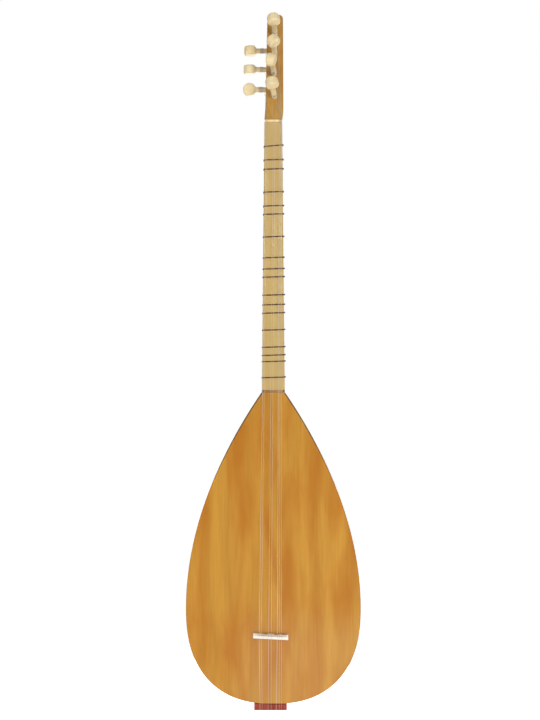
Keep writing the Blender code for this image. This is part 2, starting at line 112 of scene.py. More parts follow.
head_tilt = math.radians(18.0)
head_length = 0.1715
head_blend = 0.018
head_right = 0.0138
head_left_low = -0.0109
head_left_top = -0.0080
head_side_share = 0.60
head_round = 0.012
head_edge_cut = 0.0008
head_start_z = nut_thick / 2 + seat
head_thick = neck_depth_nut * math.cos(head_tilt)

front_peg_turns = (12.0, 74.0, 38.0, 8.0)
side_peg_turns = (0.0, 86.0, 95.0)
front_shaft_length = 0.026
side_shaft_length = 0.014
shaft_radius = 0.0034
shaft_taper = 0.020
tip_recess = 0.0006
tip_bevel = 0.0005
shaft_end_cut = 0.0012
handle_length = 0.0175
handle_half_width = 0.00885
handle_half_thick = 0.0062
handle_rise = 0.0035
handle_end_round = 0.0030
handle_square = 4.5

bridge_middle = -0.0036
bridge_length = 0.0475
bridge_height = 0.0098
bridge_base = 0.0070
bridge_top = 0.0031
bridge_skew = math.radians(3.0)
bridge_notch_depth = 0.0012
bridge_notch_half = 0.00065
bridge_foot = 0.0085
bridge_arch = 0.0036
bridge_z = -0.700
tail_edge_z = body_end_z - 0.0083
tailpiece_front = 0.0010
pin_radius = 0.0008
pin_rows = (0.0125, 0.0185)

nut_height = 0.0016
nut_notch_depth = 0.0007
nut_string_x = (-0.0096, -0.0080, -0.0001, 0.0022, 0.0084, 0.0099, 0.0111)
bridge_string_x = (-0.0192, -0.0164, -0.0064, -0.0029, 0.0053, 0.0080, 0.0109)
tail_string_x = (-0.0181, -0.0151, -0.0068, -0.0029, 0.0041, 0.0080, 0.0109)
string_radii = (0.00020, 0.00015, 0.00016, 0.00015, 0.00022, 0.00015, 0.00015)
string_pegs = ("side_peg_1", "side_peg_2", "side_peg_3",
               "front_peg_1", "front_peg_2", "front_peg_3", "front_peg_4")
side_peg_heights = (0.0527, 0.0847, 0.1146)
winding_turns = 8
winding_gap = 0.00030
winding_start = 0.0040
string_clearance = 0.00045
string_bend = 0.0006
side_string_drop = 0.016
side_string_past = 0.0010
side_string_rise = 0.0012

fret_cents = (85, 135, 169, 256, 311, 345, 440, 533, 585,
              624, 713, 763, 807, 900, 1000, 1049, 1088, 1192)
scale_length = 0.700
fret_pitch = 0.00050
fret_strands = 3
fret_radius = 0.00025
fret_tilt = 0.0010
first_fret_tilt = 0.0022
fret_lip = 0.0004
knot_place = (0.0010, 0.0026)
knot_beads = (((0.0, 0.0, 0.0004), 0.00075), ((0.0, 0.0009, -0.0005), 0.00065))
corner_cut = 0.0006

hang_height = 0.45
room_light = 0.34
floor_glow = 0.72
floor_size = 12.0
camera_lens = 55.19
camera_place = (-0.0045, -1.5, -0.3249)
panels = (("low_panel", (0.15, -1.10, -1.20), (0.0, 0.0, -0.55), 0.5, 10.5),
          ("left_panel", (-1.6, -1.4, -0.3), (0.0, 0.0, -0.30), 1.2, 10.5),
          ("head_panel", (0.6, -1.3, 0.10), (0.0, 0.0, 0.08), 0.5, 9.0),
          ("back_panel", (0.3, 1.9, -0.7), (0.0, 0.0, -0.50), 1.2, 20.0))


# Shapes

def add_object(name, mesh, material, body, *nodes):
    piece = bpy.data.objects.new(name, mesh)
    bpy.context.scene.collection.objects.link(piece)
    piece.data.materials.clear()
    piece.data.materials.append(material)
    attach(piece, body)
    if nodes:
        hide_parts(*nodes)
    return piece


def mesh_from(name, bm, smooth_angle=35.0):
    bmesh.ops.recalc_face_normals(bm, faces=bm.faces)
    mesh = bpy.data.meshes.new(name)
    bm.to_mesh(mesh)
    bm.free()
    mesh.shade_smooth()
    mesh.set_sharp_from_angle(angle=math.radians(smooth_angle))
    return mesh


def loft(rings):
    bm = bmesh.new()
    first = None
    last = None
    for ring in rings:
        verts = [bm.verts.new(point) for point in ring]
        edges = [bm.edges.new((verts[k - 1], verts[k])) for k in range(len(verts))]
        if last:
            bmesh.ops.bridge_loops(bm, edges=last + edges)
        else:
            first = edges
        last = edges
    bmesh.ops.contextual_create(bm, geom=first)
    bmesh.ops.contextual_create(bm, geom=last)
    return bm


def curve_tube(name, points, radius, sides=3):
    curve = bpy.data.curves.new(name, "CURVE")
    curve.dimensions = "3D"
    curve.bevel_depth = radius
    curve.bevel_resolution = sides
    curve.use_fill_caps = True
    spline = curve.splines.new("POLY")
    spline.points.add(len(points) - 1)
    for target, point in zip(spline.points, points):
        target.co = (*point, 1.0)
    holder = bpy.data.objects.new(name + "_line", curve)
    bpy.context.scene.collection.objects.link(holder)
    bpy.context.view_layer.update()
    mesh = bpy.data.meshes.new_from_object(holder.evaluated_get(bpy.context.evaluated_depsgraph_get()))
    bpy.data.objects.remove(holder)
    mesh.name = name
    mesh.shade_smooth()
    return mesh


def neck_share(z):
    return min(max(z / strip_end_z, 0.0), 1.0)


def neck_width(z):
    return neck_width_nut + (neck_width_heel - neck_width_nut) * neck_share(z)


def neck_depth(z):
    return neck_depth_nut + (neck_depth_heel - neck_depth_nut) * neck_share(z)


def back_outline(width, depth, top, side, facets, power=2.0):
    points = []
    for k in range(facets + 1):
        angle = math.pi * k / facets
        wide = math.copysign(abs(math.cos(angle)) ** (2 / power), math.cos(angle))
        deep = max(math.sin(angle), 0.0) ** (2 / power)
        points.append((-width / 2 * wide, top + side + (depth - top - side) * deep))
    return points


def on_head(x, depth, height):
    y = height * math.sin(head_tilt) + depth * math.cos(head_tilt)
    z = head_start_z + height * math.cos(head_tilt) - depth * math.sin(head_tilt)
    return Vector((x, y, z))


def head_left(height):
    share = min(max((height - head_blend) / (head_length - head_blend), 0.0), 1.0)
    return head_left_low + (head_left_top - head_left_low) * share


def half_width(z):
    if z >= widest_z:
        share = (z - widest_z) / widest_at
        return body_width / 2 - (body_width - nose_width) / 2 * share ** shoulder_power
    share = (widest_z - z) / (body_length - widest_at)
    return body_width / 2 * max(1 - share ** tail_power, 0.0) ** (1 / tail_power)


def depth_at(z):
    if z >= deepest_z:
        share = (z - deepest_z) / deepest_at
        return bowl_depth - (bowl_depth - nose_depth) * share ** back_power
    share = (deepest_z - z) / (body_length - deepest_at)
    return bowl_depth * max(1 - share ** tail_back_power, 0.0) ** (1 / tail_back_power)


def stations(upper, lower):
    places = [body_top_z - widest_at * k / upper for k in range(upper)]
    low = (body_length - widest_at) * tail_share
    return places + [widest_z - low * math.sin(math.pi / 2 * k / lower) for k in range(lower + 1)]


def dome(x, z):
    wide = max(half_width(z), 1e-6)
    along = math.sin(math.pi * min(max((body_top_z - z) / body_length, 0.0), 1.0))
    return board_dome * along * max(1 - (x / wide) ** 2, 0.0)


# Materials

def new_group(name, inputs, outputs):
    group = bpy.data.node_groups.new(name, "ShaderNodeTree")
    for label, kind, default in inputs:
        socket = group.interface.new_socket(label, in_out="INPUT", socket_type=kind)
        socket.default_value = default
    for label, kind in outputs:
        group.interface.new_socket(label, in_out="OUTPUT", socket_type=kind)
    return group, group.nodes.new("NodeGroupInput"), group.nodes.new("NodeGroupOutput")


def grain_group():
    inputs = (("Light", "NodeSocketColor", (0.5, 0.3, 0.1, 1.0)),
              ("Dark", "NodeSocketColor", (0.3, 0.15, 0.05, 1.0)),
              ("Blotch", "NodeSocketColor", (0.5, 0.2, 0.04, 1.0)), ("Grain Scale", "NodeSocketFloat", 400.0),
              ("Grain Amount", "NodeSocketFloat", 1.0), ("Streak Scale", "NodeSocketFloat", 60.0),
              ("Blotch Amount", "NodeSocketFloat", 0.5), ("Blotch Scale", "NodeSocketFloat", 12.0))
    outputs = (("Color", "NodeSocketColor"), ("Height", "NodeSocketFloat"), ("Roughness", "NodeSocketFloat"))
    group, given, result = new_group("wood_grain", inputs, outputs)
    nodes, links = group.nodes, group.links
    place = nodes.new("ShaderNodeTexCoord")
    stretch = nodes.new("ShaderNodeMapping")
    stretch.inputs["Scale"].default_value = (1.0, 1.0, 0.035)
    links.new(place.outputs["Object"], stretch.inputs["Vector"])
    fine = nodes.new("ShaderNodeTexNoise")
    fine.inputs["Detail"].default_value = 5.0
    fine.inputs["Roughness"].default_value = 0.6
    links.new(stretch.outputs["Vector"], fine.inputs["Vector"])
    links.new(given.outputs["Grain Scale"], fine.inputs["Scale"])
    broad_stretch = nodes.new("ShaderNodeMapping")
    broad_stretch.inputs["Scale"].default_value = (1.0, 1.0, 0.22)
    links.new(place.outputs["Object"], broad_stretch.inputs["Vector"])
    broad = nodes.new("ShaderNodeTexNoise")
    broad.inputs["Detail"].default_value = 3.0
    broad.inputs["Distortion"].default_value = 0.3
    links.new(broad_stretch.outputs["Vector"], broad.inputs["Vector"])
    links.new(given.outputs["Blotch Scale"], broad.inputs["Scale"])
    grain_ramp = nodes.new("ShaderNodeMapRange")
    grain_ramp.inputs["From Min"].default_value = 0.34
    grain_ramp.inputs["From Max"].default_value = 0.66
    links.new(fine.outputs["Fac"], grain_ramp.inputs["Value"])
    blotch_ramp = nodes.new("ShaderNodeMapRange")
    blotch_ramp.inputs["From Min"].default_value = 0.40
    blotch_ramp.inputs["From Max"].default_value = 0.66
    links.new(broad.outputs["Fac"], blotch_ramp.inputs["Value"])
    amount = nodes.new("ShaderNodeMath")
    amount.operation = "MULTIPLY"
    links.new(blotch_ramp.outputs["Result"], amount.inputs[0])
    links.new(given.outputs["Blotch Amount"], amount.inputs[1])
    streak_stretch = nodes.new("ShaderNodeMapping")
    streak_stretch.inputs["Scale"].default_value = (1.0, 1.0, 0.07)
    links.new(place.outputs["Object"], streak_stretch.inputs["Vector"])
    streak = nodes.new("ShaderNodeTexNoise")
    streak.inputs["Detail"].default_value = 2.0
    streak.inputs["Distortion"].default_value = 0.4
    links.new(streak_stretch.outputs["Vector"], streak.inputs["Vector"])
    links.new(given.outputs["Streak Scale"], streak.inputs["Scale"])
    streak_ramp = nodes.new("ShaderNodeMapRange")
    streak_ramp.inputs["From Min"].default_value = 0.32
    streak_ramp.inputs["From Max"].default_value = 0.68
    links.new(streak.outputs["Fac"], streak_ramp.inputs["Value"])
    both = nodes.new("ShaderNodeMix")
    both.inputs["Factor"].default_value = 0.38
    links.new(grain_ramp.outputs["Result"], both.inputs["B"])
    links.new(streak_ramp.outputs["Result"], both.inputs["A"])
    depth = nodes.new("ShaderNodeMath")
    depth.operation = "MULTIPLY"
    links.new(both.outputs["Result"], depth.inputs[0])
    links.new(given.outputs["Grain Amount"], depth.inputs[1])
    mix = nodes.new("ShaderNodeMix")
    mix.data_type = "RGBA"
    links.new(depth.outputs["Value"], mix.inputs["Factor"])
    links.new(given.outputs["Light"], mix.inputs["A"])
    links.new(given.outputs["Dark"], mix.inputs["B"])
    stain = nodes.new("ShaderNodeMix")
    stain.data_type = "RGBA"
    links.new(amount.outputs["Value"], stain.inputs["Factor"])
    links.new(mix.outputs["Result"], stain.inputs["A"])
    links.new(given.outputs["Blotch"], stain.inputs["B"])
    rough = nodes.new("ShaderNodeMapRange")
    rough.inputs["To Min"].default_value = 0.42
    rough.inputs["To Max"].default_value = 0.58
    links.new(fine.outputs["Fac"], rough.inputs["Value"])
    links.new(stain.outputs["Result"], result.inputs["Color"])
    links.new(grain_ramp.outputs["Result"], result.inputs["Height"])
    links.new(rough.outputs["Result"], result.inputs["Roughness"])
    return group


def bare_material(name, rough, metallic=0.0, coat=0.0):
    material = bpy.data.materials.new(name)
    material.use_nodes = True
    shader = material.node_tree.nodes["Principled BSDF"]
    shader.inputs["Roughness"].default_value = rough
    shader.inputs["Metallic"].default_value = metallic
    shader.inputs["Coat Weight"].default_value = coat
    shader.inputs["Coat Roughness"].default_value = 0.12
    shader.inputs["Specular IOR Level"].default_value = 0.5 if metallic else 0.14
    return material, shader


def wood(name, light, dark, blotch, grain=400.0, depth=1.0, streak=60.0,
         amount=0.5, blotch_scale=12.0, coat=0.0, bump=0.05):
    material, shader = bare_material(name, 0.4, coat=coat)
    nodes, links = material.node_tree.nodes, material.node_tree.links
    group = nodes.new("ShaderNodeGroup")
    group.node_tree = groups["grain"]
    for label, value in (("Light", light), ("Dark", dark), ("Blotch", blotch)):
        group.inputs[label].default_value = (*value, 1.0)
    group.inputs["Grain Scale"].default_value = grain
    group.inputs["Grain Amount"].default_value = depth
    group.inputs["Streak Scale"].default_value = streak
    group.inputs["Blotch Amount"].default_value = amount
    group.inputs["Blotch Scale"].default_value = blotch_scale
    relief = nodes.new("ShaderNodeBump")
    relief.inputs["Strength"].default_value = bump
    relief.inputs["Distance"].default_value = 0.0005
    links.new(group.outputs["Color"], shader.inputs["Base Color"])
    links.new(group.outputs["Roughness"], shader.inputs["Roughness"])
    links.new(group.outputs["Height"], relief.inputs["Height"])
    links.new(relief.outputs["Normal"], shader.inputs["Normal"])
    return material


# Painted shade: the strip's colour fades to near black over its last few millimetres at each end, where the
# bowl's shoulders shade the neck-body corners.
def paint_end_shade(material, half):
    nodes, links = material.node_tree.nodes, material.node_tree.links
    place = nodes.new("ShaderNodeTexCoord")
    split = nodes.new("ShaderNodeSeparateXYZ")
    links.new(place.outputs["Object"], split.inputs["Vector"])
    away = nodes.new("ShaderNodeMath")
    away.operation = "ABSOLUTE"
    links.new(split.outputs["X"], away.inputs[0])
    end_shade_mask = nodes.new("ShaderNodeMapRange")
    end_shade_mask.inputs["From Min"].default_value = half - 0.0026
    end_shade_mask.inputs["From Max"].default_value = half - 0.0014
    links.new(away.outputs["Value"], end_shade_mask.inputs["Value"])
    mix = nodes.new("ShaderNodeMix")
    mix.data_type = "RGBA"
    # near-black colour of the painted shade at the strip's ends
    mix.inputs["B"].default_value = (0.055, 0.028, 0.012, 1.0)
    shader = nodes["Principled BSDF"]
    links.new(end_shade_mask.outputs["Result"], mix.inputs["Factor"])
    links.new(shader.inputs["Base Color"].links[0].from_socket, mix.inputs["A"])
    links.new(mix.outputs["Result"], shader.inputs["Base Color"])


def mottled(name, light, dark, scale, rough, metallic=0.0):
    material, shader = bare_material(name, rough, metallic)
    nodes, links = material.node_tree.nodes, material.node_tree.links
    place = nodes.new("ShaderNodeTexCoord")
    noise = nodes.new("ShaderNodeTexNoise")
    noise.inputs["Scale"].default_value = scale
    noise.inputs["Detail"].default_value = 4.0
    links.new(place.outputs["Object"], noise.inputs["Vector"])
    mix = nodes.new("ShaderNodeMix")
    mix.data_type = "RGBA"
    mix.inputs["A"].default_value = (*dark, 1.0)
    mix.inputs["B"].default_value = (*light, 1.0)
    links.new(noise.outputs["Fac"], mix.inputs["Factor"])
    links.new(mix.outputs["Result"], shader.inputs["Base Color"])
    relief = nodes.new("ShaderNodeBump")
    relief.inputs["Strength"].default_value = 0.04
    relief.inputs["Distance"].default_value = 0.0003
    links.new(noise.outputs["Fac"], relief.inputs["Height"])
    links.new(relief.outputs["Normal"], shader.inputs["Normal"])
    return material


groups = {}
finish = {}


def make_finishes():
    groups["grain"] = grain_group()
    finish["board"] = wood(
        "amber_spruce", (0.560, 0.272, 0.034), (0.400, 0.178, 0.018), (0.410, 0.140, 0.008),
        grain=420.0, depth=0.9, streak=60.0, amount=0.85, blotch_scale=34.0, coat=0.05)
    finish["fingerboard"] = wood(
        "pale_beech", (0.575, 0.420, 0.170), (0.500, 0.345, 0.125), (0.560, 0.340, 0.110),
        grain=520.0, streak=160.0, amount=0.3, blotch_scale=20.0, bump=0.08)
    finish["neck"] = wood(
        "neck_beech", (0.55, 0.34, 0.12), (0.44, 0.25, 0.08), (0.46, 0.25, 0.07),
        grain=480.0, streak=120.0, amount=0.35, coat=0.15)
    finish["head"] = wood(
        "golden_beech", (0.600, 0.350, 0.085), (0.460, 0.235, 0.045), (0.430, 0.185, 0.032),
        grain=460.0, streak=170.0, amount=0.6, blotch_scale=45.0, coat=0.1)
    finish["strip"] = wood(
        "brown_strip", (0.45, 0.26, 0.10), (0.30, 0.15, 0.05), (0.22, 0.10, 0.04), amount=0.4)
    # painted shade at both ends of the end strip
    paint_end_shade(finish["strip"], neck_width_heel / 2)
    finish["dark_stave"] = wood(
        "walnut_stave", (0.150, 0.070, 0.030), (0.080, 0.034, 0.015), (0.110, 0.045, 0.018),
        grain=380.0, amount=0.4, coat=0.4)
    finish["light_stave"] = wood(
        "mahogany_stave", (0.30, 0.135, 0.055), (0.19, 0.075, 0.028), (0.22, 0.08, 0.03),
        grain=380.0, amount=0.4, coat=0.4)
    finish["block"] = wood(
        "raw_spruce", (0.60, 0.42, 0.22), (0.48, 0.31, 0.15), (0.5, 0.33, 0.15), amount=0.2)
    finish["bridge"] = wood(
        "white_hornbeam", (0.90, 0.86, 0.78), (0.80, 0.74, 0.64), (0.84, 0.78, 0.68),
        streak=300.0, amount=0.2)
    finish["tailpiece"] = wood(
        "red_padauk", (0.40, 0.070, 0.035), (0.20, 0.025, 0.014), (0.26, 0.03, 0.015),
        grain=500.0, streak=260.0, amount=0.5, blotch_scale=90.0, bump=0.1)
    finish["peg"] = wood(
        "cream_boxwood", (0.89, 0.75, 0.46), (0.80, 0.64, 0.35), (0.80, 0.61, 0.32),
        grain=300.0, streak=200.0, amount=0.3, blotch_scale=90.0, coat=0.2, bump=0.03)
    finish["nut"] = mottled("bone_nut", (0.90, 0.74, 0.46), (0.82, 0.64, 0.36), 300.0, 0.35)
    finish["steel"] = mottled(
        "string_steel", (0.56, 0.51, 0.43), (0.44, 0.39, 0.32), 900.0, 0.32, metallic=1.0)
    finish["line"] = mottled("fret_line", (0.150, 0.075, 0.060), (0.055, 0.026, 0.024), 1500.0, 0.5)


# Pieces

def dress_kept_nodes():
    kept = {"fingerboard": "fingerboard", "end_strip": "strip", "nut": "nut", "neck_block": "block",
            "tail_block": "block", "soundboard_brace": "block", "tailpiece": "tailpiece"}
    for k in range(len(nut_string_x)):
        kept["tail_pin_%d" % (k + 1)] = "steel"
    for node, name in kept.items():
        mesh = frame["nodes"][node].data
        mesh.materials.clear()
        mesh.materials.append(finish[name])


def make_neck():
    top = fingerboard_thick + seat
    rings = []
    for z in (nut_thick / 2, 0.0, strip_end_z):
        outline = [(-neck_width(z) / 2, top)]
        outline += back_outline(neck_width(z), neck_depth(z), top, neck_side, 40)
        outline.append((neck_width(z) / 2, top))
        rings.append([Vector((x, y, z)) for x, y in outline])
    add_object("neck_shaft", mesh_from("neck_shaft", loft(rings)), finish["neck"], body_name, "neck")


def head_ring(height, shrink):
    left = head_left(height)
    middle = (left + head_right) / 2
    width = (head_right - left) * shrink
    inset = head_thick * (1 - shrink) / 2
    cut = head_edge_cut * shrink
    side = head_thick * head_side_share * shrink
    outline = [(-width / 2, inset + cut)]
    outline += back_outline(width, head_thick - inset, inset, side, 40, 2.6)
    outline += [(width / 2, inset + cut), (width / 2 - cut, inset), (-width / 2 + cut, inset)]
    return [on_head(middle + x, depth, height) for x, depth in outline]


def make_head():
    width = neck_width_nut
    outline = [(-width / 2, corner_cut)]
    outline += back_outline(width, neck_depth_nut, fingerboard_thick + seat, neck_side, 40)
    outline += [(width / 2, corner_cut), (width / 2 - corner_cut, 0.0), (-width / 2 + corner_cut, 0.0)]
    rings = [[Vector((x, y, head_start_z)) for x, y in outline]]
    rings.append(head_ring(head_blend, 1.0))
    rings.append(head_ring(head_length - head_round, 1.0))
    for k in range(1, 11):
        angle = math.radians(90.0) * k / 10.8
        rings.append(head_ring(head_length - head_round * (1 - math.sin(angle)), math.cos(angle) ** 0.85))
    add_object("peghead_block", mesh_from("peghead_block", loft(rings)), finish["head"], body_name, "peghead")


def shaft_radius_at(distance):
    return shaft_radius + shaft_taper * distance


def peg_frame(name):
    joint = joints[name + "_turn"]
    return Vector(joint["pos_m"]), Vector(joint["axis"]).normalized()


def handle_halves(along, neck):
    middle = handle_length - handle_half_width
    disc = math.sqrt(max(handle_half_width ** 2 - (along - middle) ** 2, 0.0))
    half_wide = (neck ** 4 + disc ** 4) ** 0.25 if along < middle else disc
    rise = min(along / handle_rise, 1.0)
    half_thick = neck + (handle_half_thick - neck) * rise * rise * (3 - 2 * rise)
    past = max(along - handle_length + handle_end_round, 0.0) / handle_end_round
    return half_wide, half_thick * (0.6 + 0.4 * math.sqrt(max(1 - past ** 2, 0.0)))


def make_peg(name, shaft, thick, turn):
    foot, out = peg_frame(name)
    side = Vector((1.0, 0.0, 0.0)) if abs(out.x) < 0.5 else Vector((0.0, 0.0, 1.0))
    wide = (side - out * side.dot(out)).normalized()
    across = out.cross(wide)
    angle = math.radians(turn)
    wide, across = (wide * math.cos(angle) + across * math.sin(angle),
                    across * math.cos(angle) - wide * math.sin(angle))
    sides = 48

    def ring(distance, half_wide, half_thick, power):
        points = []
        for k in range(sides):
            part = 2 * math.pi * (k + 0.5) / sides
            x = math.copysign(abs(math.cos(part)) ** (2 / power), math.cos(part))
            y = math.copysign(abs(math.sin(part)) ** (2 / power), math.sin(part))
            points.append(foot + out * distance + wide * half_wide * x + across * half_thick * y)
        return points

    rings = []
    tip = tip_recess - thick
    for distance in (tip, tip + tip_bevel, 0.0, shaft * 0.5, shaft - shaft_end_cut):
        rings.append(ring(distance, shaft_radius_at(distance), shaft_radius_at(distance), 2.0))
    neck = shaft_radius_at(shaft)
    steps = 26
    for k in range(steps):
        along = handle_length * (0.02 + 0.978 * math.sin(math.pi / 2 * k / (steps - 1)))
        half_wide, half_thick = handle_halves(along, neck)
        power = 2.0 + (handle_square - 2.0) * min(along / handle_rise, 1.0)
        rings.append(ring(shaft + along, half_wide, half_thick, power))
    add_object(name + "_turned", mesh_from(name + "_turned", loft(rings), 50.0), finish["peg"], name, name)


def bowl_point(angle, z, inward):
    wide, deep = half_width(z), depth_at(z)
    if z < widest_z:
        low = body_length - widest_at
        wide *= 1 - inward / (body_width / 2)
        deep *= 1 - inward / bowl_depth
        z = widest_z + (z - widest_z) * (low - inward) / low
    else:
        wide -= inward
        deep -= inward
    return Vector((-wide * math.cos(angle), rim_y + deep * math.sin(angle), z))


def joint_slack(angle, z):
    return seat / 2 / math.hypot(half_width(z) * math.sin(angle), depth_at(z) * math.cos(angle))


def make_staves():
    facets = 6
    for k in range(stave_count):
        start, end = math.pi * k / stave_count, math.pi * (k + 1) / stave_count
        rings = []
        for z in stations(26, 26):
            low = start if k == 0 else start + joint_slack(start, z)
            high = end if k == stave_count - 1 else end - joint_slack(end, z)
            angles = [low + (high - low) * j / facets for j in range(facets + 1)]
            ring = [bowl_point(a, z, 0.0) for a in angles]
            ring += [bowl_point(a, z, stave_thick) for a in reversed(angles)]
            rings.append(ring)
        name = "stave_%d" % (k + 1)
        node = "bowl_stave_%d" % (k + 1)
        mesh = mesh_from(name, loft(rings), 40.0)
        add_object(name, mesh, finish["light_stave" if k % 2 else "dark_stave"], body_name, node)


def board_half(z):
    share = min(max((z - rim_shows_from) / (body_top_z - rim_shows_from), 0.0), 1.0)
    return half_width(z) - rim_show * share ** 0.5


def make_board():
    facets = 24
    rings = []
    for z in stations(30, 30):
        wide = board_half(z)
        places = [wide * math.sin(math.pi / 2 * (2 * k / facets - 1)) for k in range(facets + 1)]
        ring = [Vector((-wide, board_edge_cut, z))]
        ring += [Vector((x * (1 - board_edge_cut / wide), -dome(x, z), z)) for x in places]
        ring.append(Vector((wide, board_edge_cut, z)))
        ring += [Vector((x, board_thick - dome(x, z), z)) for x in reversed(places)]
        rings.append(ring)
    mesh = mesh_from("soundboard_plate", loft(rings), 50.0)
    add_object("soundboard_plate", mesh, finish["board"], body_name, "soundboard")


def make_bridge():
    half = bridge_length / 2
    outline = [(-half, bridge_height)]
    for x in sorted(bridge_string_x):
        place = (x - bridge_middle) / math.cos(bridge_skew)
        for k in range(7):
            angle = math.pi * k / 6
            outline.append((place - bridge_notch_half * math.cos(angle),
                            bridge_height - bridge_notch_depth * math.sin(angle)))
    outline += [(half, bridge_height), (half, 0.0)]
    span = (bridge_length - 3 * bridge_foot) / 2
    for middle in (bridge_foot / 2 + span / 2, -bridge_foot / 2 - span / 2):
        for k in range(25):
            angle = math.pi * k / 24
            outline.append((middle + span / 2 * math.cos(angle), bridge_arch * math.sin(angle)))
    outline.append((-half, 0.0))
    foot = Matrix.Translation((bridge_middle, -board_dome - seat, bridge_z))
    place = foot @ Matrix.Rotation(bridge_skew, 4, "Y")
    bm = bmesh.new()
    verts = []
    for x, rise in outline:
        thick = bridge_base + (bridge_top - bridge_base) * rise / bridge_height
        verts.append(bm.verts.new((x, -rise, -thick / 2)))
    face = bmesh.ops.contextual_create(bm, geom=verts)["faces"][0]
    grown = bmesh.ops.extrude_face_region(bm, geom=[face])
    for item in grown["geom"]:
        if isinstance(item, bmesh.types.BMVert):
            item.co.z = -item.co.z
    bmesh.ops.triangulate(bm, faces=[f for f in bm.faces if len(f.verts) > 4])
    bmesh.ops.transform(bm, matrix=place, verts=bm.verts)
    add_object("bridge_carved", mesh_from("bridge_carved", bm, 30.0), finish["bridge"], "bridge", "bridge")


def bridge_line_z(x):
    return bridge_z - math.tan(bridge_skew) * (x - bridge_middle)


def string_points(k):
    radius = string_radii[k]
    x = tail_string_x[k]
    front = -tailpiece_front - seat - radius
    under = tail_edge_z - seat - radius
    reach = pin_radius + seat + radius
    pin_y = pin_rows[k % 2]
    points = []
    for j in range(19):
        angle = math.radians(-60.0 + 15.0 * j)
        points.append(Vector((x - reach * math.cos(angle), pin_y + reach * math.sin(angle), under)))
    points.reverse()
    points.append(Vector((x - reach * 0.5, pin_y - 4 * reach, under)))
    points.append(Vector((x, front + string_bend, under)))
    points.append(Vector((x, front, under + string_bend)))
    points.append(Vector((x, front, body_end_z - seat)))
    x = bridge_string_x[k]
    lift = -board_dome - seat - bridge_height + bridge_notch_depth - string_clearance - radius
    points.append(Vector((x, lift, bridge_line_z(x))))
    x = nut_string_x[k]
    over_nut = -nut_height + nut_notch_depth - seat / 2 - radius
    points.append(Vector((x, over_nut, -nut_thick / 2)))
    points.append(Vector((x, over_nut, nut_thick / 2)))
    peg = string_pegs[k]
    foot, out = peg_frame(peg)
    if peg.startswith("side"):
        height = side_peg_heights[k] - side_string_drop
        left = head_left(height)
        points.append(on_head(left + side_string_past, -2 * seat - radius, height))
        points.append(on_head(left - 3 * seat - radius, string_bend, height + side_string_rise))
    return points + winding(foot, out, foot - points[-1], radius)


def winding(foot, out, arrive, radius):
    forward = (arrive - out * arrive.dot(out)).normalized()
    aside = forward.cross(out)
    if abs(out.x) > 0.5 and aside.y > 0 or abs(out.x) <= 0.5 and aside.x < 0:
        aside = -aside
    pitch = 2 * radius + winding_gap
    per_turn = 24
    points = []
    for j in range(winding_turns * per_turn + 1):
        angle = 2 * math.pi * j / per_turn
        along = winding_start + pitch * j / per_turn
        reach = shaft_radius_at(along + pitch) + seat + radius
        points.append(foot + out * along + (aside * math.cos(angle) + forward * math.sin(angle)) * reach)
    return points


def make_string(k):
    name = "string_line_%d" % (k + 1)
    mesh = curve_tube(name, string_points(k), string_radii[k])
    add_object(name, mesh, finish["steel"], body_name, "string_%d" % (k + 1))


def fret_ring(z, distance):
    half = neck_width(z) / 2 + distance
    back = back_outline(2 * half, neck_depth(z) + distance, fingerboard_thick + seat, neck_side, 24)
    corner = half - fret_lip - distance * 0.3
    front = [(half, fret_lip), (corner, -distance), (0.0, -distance), (-corner, -distance), (-half, fret_lip)]
    return front + back


def make_fret(k):
    z = -scale_length * (1 - 2 ** (-fret_cents[k] / 1200))
    tilt = first_fret_tilt if k == 0 else fret_tilt
    ring = fret_ring(z, fret_radius + seat)
    count = len(ring)
    points = []
    for j in range(fret_strands * count + 1):
        x, y = ring[j % count]
        rise = fret_pitch * (j / count - fret_strands / 2) + tilt * x / neck_width(z)
        points.append(Vector((x, y, z + rise)))
    name = "tied_fret_%02d" % (k + 1)
    tube = curve_tube(name, points, fret_radius, 2)
    bm = bmesh.new()
    bm.from_mesh(tube)
    knot = Vector((neck_width(z) / 2 + knot_place[0], knot_place[1], z + tilt / 2))
    for shift, size in knot_beads:
        place = Matrix.Translation(knot + Vector(shift))
        bmesh.ops.create_icosphere(bm, subdivisions=2, radius=size, matrix=place)
    node = "fret_%02d" % (k + 1)
    add_object(name, mesh_from(name, bm, 60.0), finish["line"], node, node)


# Stage

def white_to_eyes(tree, shader):
    path = tree.nodes.new("ShaderNodeLightPath")
    eyes = tree.nodes.new("ShaderNodeMath")
    eyes.operation = "MAXIMUM"
    tree.links.new(path.outputs["Is Camera Ray"], eyes.inputs[0])
    tree.links.new(path.outputs["Is Glossy Ray"], eyes.inputs[1])
    all_eyes = tree.nodes.new("ShaderNodeMath")
    all_eyes.operation = "MAXIMUM"
    tree.links.new(eyes.outputs["Value"], all_eyes.inputs[0])
    tree.links.new(path.outputs["Is Transmission Ray"], all_eyes.inputs[1])
    white = tree.nodes.new("ShaderNodeBackground")
    white.inputs["Color"].default_value = (1.0, 1.0, 1.0, 1.0)
    choice = tree.nodes.new("ShaderNodeMixShader")
    tree.links.new(all_eyes.outputs["Value"], choice.inputs["Fac"])
    tree.links.new(shader.outputs["Background"], choice.inputs[1])
    tree.links.new(white.outputs["Background"], choice.inputs[2])
    tree.links.new(choice.outputs["Shader"], tree.nodes["World Output"].inputs["Surface"])


